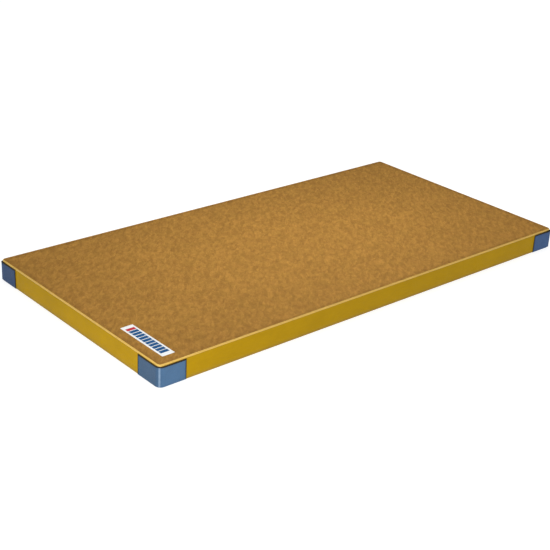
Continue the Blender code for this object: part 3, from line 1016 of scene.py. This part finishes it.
def make_guards(mat, lit_leather, shaded_leather, tape):
    section = shell(guard_profile(mat), -GUARD_LEATHER)
    for quarter, corner in enumerate(CORNERS):
        path = corner_path(mat, quarter)
        # The near guard's leather is painted lighter and the other three darker: a lit and a shaded copy of
        # one leather.
        leather = lit_leather if corner == "front_left" else shaded_leather
        guard = sweep("corner_guard_" + corner, path, section, leather, warp=guard_warp(mat, quarter, path))
        add_bevel(guard, 0.0004)
        settle(guard, "guard_leather", "guard_" + corner)
        size = (GUARD_WIDTH, distances(path)[-1] + SEAM_ALLOWANCE)
        make_binding(mat, quarter, path, tape)
        make_guard_ends(mat, corner, path, tape)


def make_guard_ends(mat, corner, path, tape):
    """The dark painted edge of the leather at both ends of a guard. It also stands in for the thin shadow
    line there, as painted shade.
    """
    section = shell([(out + PROUD, up) for out, up in guard_profile(mat)], -0.0021)
    for side, stations in (("a", path[:2]), ("b", path[:-3:-1])):
        (x0, y0, nx, ny), (x1, y1, _, _) = stations
        length = math.hypot(x1 - x0, y1 - y0)
        along_x, along_y = (x1 - x0) / length, (y1 - y0) / length
        short = [(x0 + along_x * s, y0 + along_y * s, nx, ny) for s in (-0.0001, 0.0007, 0.0015)]
        settle(sweep("guard_edge_" + corner + "_" + side, short, section, tape), "binding_tape")


def guard_warp(mat, quarter, path):
    """Leather that was wetted and pulled round the corner: slightly uneven, and thinner at its ends."""
    length = distances(path)[-1]
    stand = stand_off(mat, quarter)
    inside = 0.0006

    def warp(s, x, y, out, up):
        out_share = min(1.0, max(0.0, (out - inside) / (mat.guard_out - inside)))
        moved = out + stand(s) * out_share
        if out < inside or up < GUARD_FOLD:
            return moved, up
        uneven = 0.00022 * ripple(x + 0.7 * y, up, 0.030, 8.0)
        skived = -0.0007 * math.exp(-((min(s, length - s) / 0.002) ** 2))
        return moved + uneven - 0.0002 + skived, up

    return warp


def stand_off(mat, quarter):
    """How far a guard's outside stands out past the mat's round corner, by distance along its path."""
    start = guard_legs(mat, quarter)[0] - SIDE_RADIUS
    middle = start + SIDE_RADIUS * math.pi / 4
    shift = SIDE_RADIUS - CRISP_RADIUS

    def stand(s):
        if CORNERS[quarter] == "front_left":
            return 0.0
        flare = CRISP_FLARE * math.exp(-(((s - middle) / 0.03) ** 2))
        turn = (s - start) / SIDE_RADIUS
        if not 0.0 < turn < math.pi / 2:
            return flare
        turn = min(turn, math.pi / 2 - turn)
        if turn < math.atan2(shift, SIDE_RADIUS):
            return SIDE_RADIUS / math.cos(turn) - SIDE_RADIUS + flare
        reach = shift * (math.cos(turn) + math.sin(turn))
        reach += math.sqrt(max(0.0, CRISP_RADIUS ** 2 - shift ** 2 * (1.0 - math.sin(2 * turn))))
        return reach - SIDE_RADIUS + flare

    return stand


def make_binding(mat, quarter, path, tape):
    """A tape folded over the guard's top edge."""
    corner = CORNERS[quarter]
    stand = stand_off(mat, quarter)
    near, far = 0.0004, mat.tape_out
    half = (far - near) / 2
    low, shoulder = mat.tape_low, mat.tape_top - half
    profile = [(far, up) for up in spread(low, shoulder, 3)]
    profile += arc(((near + far) / 2, shoulder), half, 0.0, math.pi, 8)[1:]
    profile += [(near, up) for up in spread(shoulder, low, 3)[1:]]

    def warp(s, x, y, out, up):
        moved = out + stand(s) * max(0.0, (out - near) / (far - near))
        wander = 0.00010 * ripple(x, y, 0.006, 2.0) - 0.0001
        return moved + wander, up + 0.00015 * ripple(x, y, 0.03, 5.0) - 0.0001

    binding = sweep("guard_tape_" + corner, path, shell(profile, 0.0005), tape, warp=warp)
    settle(binding, "binding_tape", "guard_binding_" + corner)
    size = (TAPE_WIDTH, distances(path)[-1])


# -------- label


def make_label(mat, film, blue, red):
    """A blank patch pressed into the landing surface, with plain bars instead of any lettering."""
    low, high = mat.label_low, mat.label_high
    centre, half = (low + high) / 2, (high - low) / 2
    path = [(x + centre.x, y + centre.y, nx, ny) for x, y, nx, ny in ring_path(half.x, half.y, 0.003, 0.01)]
    top = high.z + 0.0004
    edge = [(0.0, low.z), (0.0, top - 0.0003), (-0.0003, top), (-0.0015, top + 0.0001)]
    settle(layered("label_patch_film", path, edge, film), "label_film", "label_patch")
    pitch = BARS_LENGTH / BAR_COUNT
    bar = (BAR_HALF_WIDTH, pitch * 0.41, 0.000075)
    first = centre.y + BARS_LENGTH / 2 - pitch / 2
    places = [(centre.x, first - pitch * i, top + 0.000145) for i in range(BAR_COUNT)]
    for name, ink, group in (("label_bars", blue, places[1:]), ("label_end_bar", red, places[:1])):
        work = bmesh.new()
        for place in group:
            add_block(work, place, bar)
        settle(finish_mesh(name, work, ink), "label_film")


# -------- zip


def make_zip(mat, tape_look, tooth_look, metal):
    for side, name in ((1, "upper"), (-1, "lower")):
        make_zip_tape(mat, side, name, tape_look)
        make_teeth(side, name, tooth_look)
    for name in ("zip_stop_closed", "zip_stop_open", "zip_slider", "zip_pull_tab"):
        softened(name, metal)
    make_zip_ends(mat, tape_look)


def make_zip_ends(mat, look):
    """A cloth patch behind the tapes beyond each end stop, where a real zip's tapes are sewn together."""
    half, middle, _ = zip_slot()
    tape_low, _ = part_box("zip_tape_upper")
    end = half + 0.008
    for side, name in ((1, "closed"), (-1, "open")):
        stop_low, stop_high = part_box("zip_stop_" + name)
        start = max(abs(stop_low.x), abs(stop_high.x)) - 0.004
        work = bmesh.new()
        centre = (side * (end + start) / 2, tape_low.y - 0.0004, middle)
        add_block(work, centre, ((end - start) / 2, 0.0003, 0.0075))
        patch = finish_mesh("zip_end_cloth_" + name, work, look)
        add_bevel(patch, 0.0002)
        settle(patch, "zip_cloth")


def make_zip_tape(mat, side, name, look):
    """A woven tape that steps in from behind the band to the teeth."""
    low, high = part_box("zip_tape_" + name)
    middle = zip_slot()[1]
    inner, edge = sorted((abs(low.z - middle), abs(high.z - middle)))
    behind = high.y - mat.half_y
    deep = low.y - mat.half_y + 0.0008
    profile = [(behind, edge), (behind, 0.0135), (behind - 0.0004, 0.0118), (deep + 0.0005, 0.0088)]
    profile += [(deep, 0.0072), (deep, inner + 0.0016)]
    profile += [(deep + 0.0004, inner + 0.0007), (deep + 0.0003, inner)]
    section = shell([(out, middle + side * up) for out, up in profile], 0.0007 * -side)

    def warp(s, x, y, out, up):
        return out - abs(0.00015 * ripple(x, up, 0.05, 3.0 + side)), up

    path = run((high.x, mat.half_y), (low.x, mat.half_y), 0.01)
    tape = sweep("zip_cloth_" + name, path, section, look, warp=warp)
    settle(tape, "zip_cloth", "zip_tape_" + name)


def make_teeth(side, name, look):
    """Moulded teeth, each with arms round the tape's edge and a wider head towards the middle."""
    low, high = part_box("zip_teeth_" + name)
    root, head = (high.z, low.z) if side > 0 else (low.z, high.z)
    flank = [(0.00075, 0.0), (0.00065, 0.55), (0.00120, 0.72), (0.00115, 0.92), (0.00050, 1.0)]
    outline = [(dx, root + (head - root) * t) for dx, t in flank]
    outline += [(-dx, z) for dx, z in reversed(outline)]
    count = int((high.x - low.x) / TOOTH_PITCH)
    start = (low.x + high.x) / 2 - (count - 1) * TOOTH_PITCH / 2 + (TOOTH_PITCH / 4) * side
    work = bmesh.new()
    for i in range(count):
        x = start + i * TOOTH_PITCH
        add_stack(work, [[(x + dx, y, z) for dx, z in outline] for y in (high.y, low.y)])
    settle(finish_mesh("zip_row_" + name, work, look), "zip_plastic", "zip_teeth_" + name)


def softened(node, look):
    """The CAD shape with its facets merged and its edges rounded."""
    source = bpy.data.objects[node]
    work = bmesh.new()
    work.from_mesh(source.data)
    bmesh.ops.remove_doubles(work, verts=work.verts, dist=1e-6)
    bmesh.ops.dissolve_limit(work, angle_limit=math.radians(2), verts=work.verts, edges=work.edges)
    piece = finish_mesh(node + "_metal", work, look)
    add_bevel(piece, 0.00028)
    body = source["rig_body"]
    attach(piece, body)
    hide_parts(node)


# -------- foam


def make_foam(mat, firm, soft):
    """Three layers, with their lower and upper edges cut off by these widths."""
    layers = (
        ("base", firm, "firm_foam", 0.004, 0.0008),
        ("middle", soft, "soft_foam", 0.0008, 0.0008),
        ("top", firm, "firm_foam", 0.0008, 0.0075),
    )
    for name, look, slot, lower, upper in layers:
        node = "core_" + name + "_layer"
        low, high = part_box(node)
        path = ring_path(high.x, high.y, SIDE_RADIUS - (mat.half_x - high.x), 0.02)
        wall = [(0.0, up) for up in spread(low.z + lower, high.z - upper, 3)]
        edge = [(-lower, low.z)] + wall + [(-upper, high.z)]
        layer = layered("foam_" + name + "_layer", path, edge, look)
        if name == "middle":
            press_groove(mat, layer)
        settle(layer, slot, node)


def press_groove(mat, layer):
    """The hollow that the zip's slider runs in."""
    half, middle, _ = zip_slot()
    work = bmesh.new()
    add_block(work, (0, mat.half_y, middle), (half + 0.018, 0.0095, 0.021))
    cut_away(layer, work)


# -------- stitching


def make_stitching(mat, brown, yellow, dark):
    stitches("band_stitching", [band_row(mat, side) for side in range(4)], yellow, "side_vinyl")
    ring = ring_path(mat.half_x, mat.half_y, SIDE_RADIUS)
    stitches("hem_stitching", [flat_row(ring, -mat.hem + 0.004, 0.0001, -1)], yellow, "side_vinyl")
    inner = ring_path(mat.half_x, mat.half_y, PIPING_CORNER)
    points = flat_row(inner, -mat.sheet_inset - 0.0075, mat.sheet_high.z, 1)
    stitches("landing_stitching", [settled(points, mat)], brown, "mat_cloth")
    rows = []
    for quarter in range(4):
        path = corner_path(mat, quarter)
        rows += [end_row(mat, path[0], path[1]), end_row(mat, path[-1], path[-2])]
    stitches("guard_stitching", rows, dark, "binding_tape")
    stitches("zip_stitching", [zip_row(mat)], yellow, "side_vinyl")


def band_row(mat, side):
    """Along the top of one side, between the guard at this corner and the next one."""
    first = corner_path(mat, (side - 1) % 4)[-1]
    last = corner_path(mat, side)[0]
    dx, dy = last[0] - first[0], last[1] - first[1]
    length = math.hypot(dx, dy)
    dx, dy = 0.006 * dx / length, 0.006 * dy / length
    height = mat.band_top - 0.0028
    row = []
    for x, y, nx, ny in run((first[0] + dx, first[1] + dy), (last[0] - dx, last[1] - dy)):
        out = band_warp(mat)(0.0, x, y, 0.0, height)[0] + PROUD
        row.append((Vector((x + nx * out, y + ny * out, height)), Vector((nx, ny, 0))))
    return row


def zip_row(mat):
    """Right round the zip's opening."""
    outline = rounded_slot(zip_slot(), grow=0.0035)
    outline.append(outline[0])
    fine = []
    for (x0, z0), (x1, z1) in zip(outline, outline[1:]):
        steps = max(1, int(math.hypot(x1 - x0, z1 - z0) / 0.01))
        fine += [(x0 + (x1 - x0) * k / steps, z0 + (z1 - z0) * k / steps) for k in range(steps)]
    row = []
    for x, z in fine:
        out, _ = band_warp(mat)(0.0, x, mat.half_y, 0.0, z)
        row.append((Vector((x, mat.half_y + out + PROUD, z)), Vector((0, 1, 0))))
    return row


def settled(points, mat):
    """Lays a row of seam points on the landing surface."""
    high = mat.sheet_high
    moved = []
    for point, normal in points:
        edge = min(high.x - abs(point.x), high.y - abs(point.y))
        height = high.z + cloth_height(mat, point.x, point.y, edge)
        moved.append((Vector((point.x, point.y, height + 0.0001)), normal))
    return moved


def end_row(mat, near, far):
    """An upright row of stitches beside a guard's end."""
    x, y, nx, ny = near
    along = Vector((far[0] - x, far[1] - y, 0)).normalized()
    base = Vector((x, y, 0)) + along * 0.0042 + Vector((nx, ny, 0)) * (mat.guard_out - 0.0001)
    normal = Vector((nx, ny, 0))
    return [(base + Vector((0, 0, z)), normal) for z in spread(0.006, mat.guard_top - 0.001, 12)]


# -------- camera, light and floor


def make_camera(mat):
    corner = Vector((-mat.half_x, -mat.half_y, 0.0))
    level = math.cos(PITCH)
    forward = Vector((level * math.cos(HEADING), level * math.sin(HEADING), -math.sin(PITCH)))
    sideways = forward.cross(Vector((0, 0, 1))).normalized()
    upright = sideways.cross(forward)
    right = sideways * math.cos(ROLL) + upright * math.sin(ROLL)
    up = right.cross(forward)
    data = bpy.data.cameras.new("camera")
    data.lens = LENS
    data.sensor_width = 36.0
    camera = bpy.data.objects.new("camera", data)
    bpy.context.scene.collection.objects.link(camera)
    turn = Matrix((right, up, -forward)).transposed().to_4x4()
    camera.matrix_world = Matrix.Translation(corner + EYE) @ turn
    bpy.context.scene.camera = camera


def area_light(name, place, target, size, watts):
    data = bpy.data.lights.new(name, "AREA")
    data.shape = "RECTANGLE"
    data.size, data.size_y = size
    data.energy = watts
    lamp = bpy.data.objects.new(name, data)
    bpy.context.scene.collection.objects.link(lamp)
    lamp.location = place
    lamp.rotation_euler = (Vector(target) - Vector(place)).to_track_quat("-Z", "Y").to_euler()
    lamp.visible_camera = False


def make_light():
    """Plain studio light. The world is white to the camera, and a weaker fill light to the mat."""
    world = bpy.data.worlds.new("studio")
    bpy.context.scene.world = world
    world.use_nodes = True
    nodes, links = world.node_tree.nodes, world.node_tree.links
    fill = nodes["Background"]
    fill.inputs["Color"].default_value = (1.0, 1.0, 1.0, 1.0)
    fill.inputs["Strength"].default_value = 0.29
    backdrop = nodes.new("ShaderNodeBackground")
    backdrop.inputs["Color"].default_value = (1.0, 1.0, 1.0, 1.0)
    choice = nodes.new("ShaderNodeMixShader")
    links.new(nodes.new("ShaderNodeLightPath").outputs["Is Camera Ray"], choice.inputs["Fac"])
    links.new(fill.outputs["Background"], choice.inputs[1])
    links.new(backdrop.outputs["Background"], choice.inputs[2])
    links.new(choice.outputs["Shader"], nodes["World Output"].inputs["Surface"])
    sun = bpy.data.lights.new("sky_panel", "SUN")
    sun.energy = 1.1
    sun.angle = math.radians(60)
    bpy.context.scene.collection.objects.link(bpy.data.objects.new("sky_panel", sun))
    area_light("overhead", (0.07, -0.03, 1.0), (0.07, -0.03, 0.0), (1.6, 0.3), 6.6)
    area_light("key", (-1.85, -1.3, 0.5), (-0.95, -0.45, 0.04), (0.4, 0.4), 10.0)
    bpy.context.scene.view_settings.view_transform = "Standard"


def make_floor():
    work = bmesh.new()
    bmesh.ops.create_grid(work, x_segments=1, y_segments=1, size=120.0)
    look = Look("floor", roughness=0.9, specular=0.2)
    look.paint((0.4, 0.4, 0.4, 1.0))
    look.shader.inputs["Emission Color"].default_value = (1.0, 1.0, 1.0, 1.0)
    look.shader.inputs["Emission Strength"].default_value = 0.78
    floor = finish_mesh("floor", work, look.material)
    floor.location = (0.0, 0.0, -0.0003)
    floor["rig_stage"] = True


# -------- build


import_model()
MAT = Mat()

make_foam(MAT, foam("firm_foam", (0.62, 0.60, 0.52)), foam("soft_foam", (0.50, 0.42, 0.30), cell=260.0))
make_top_sheet(MAT, landing_cloth())
make_base_sheet(MAT, grip_cloth())
make_bands(MAT, side_vinyl())
make_piping(MAT, piping_vinyl())
make_guards(
    MAT,
    # A lit copy of the leather for the near guard, painted lighter, and a shaded copy for the others.
    guard_leather("lit_guard_leather", (0.072, 0.157, 0.287), 0.80, 0.14),
    guard_leather("guard_leather", (0.063, 0.124, 0.272), 0.10, 0.06),
    binding_tape(),
)
make_label(
    MAT,
    label_film(),
    print_ink("blue_ink", (0.012, 0.092, 0.25)),
    print_ink("red_ink", (0.55, 0.03, 0.05)),
)
make_zip(MAT, woven_tape(), tooth_plastic(), zip_metal())
make_stitching(
    MAT,
    thread("brown_thread", (0.22, 0.115, 0.03)),
    thread("yellow_thread", (0.50, 0.30, 0.02)),
    thread("dark_thread", (0.03, 0.045, 0.07)),
)
make_floor()
make_light()
make_camera(MAT)
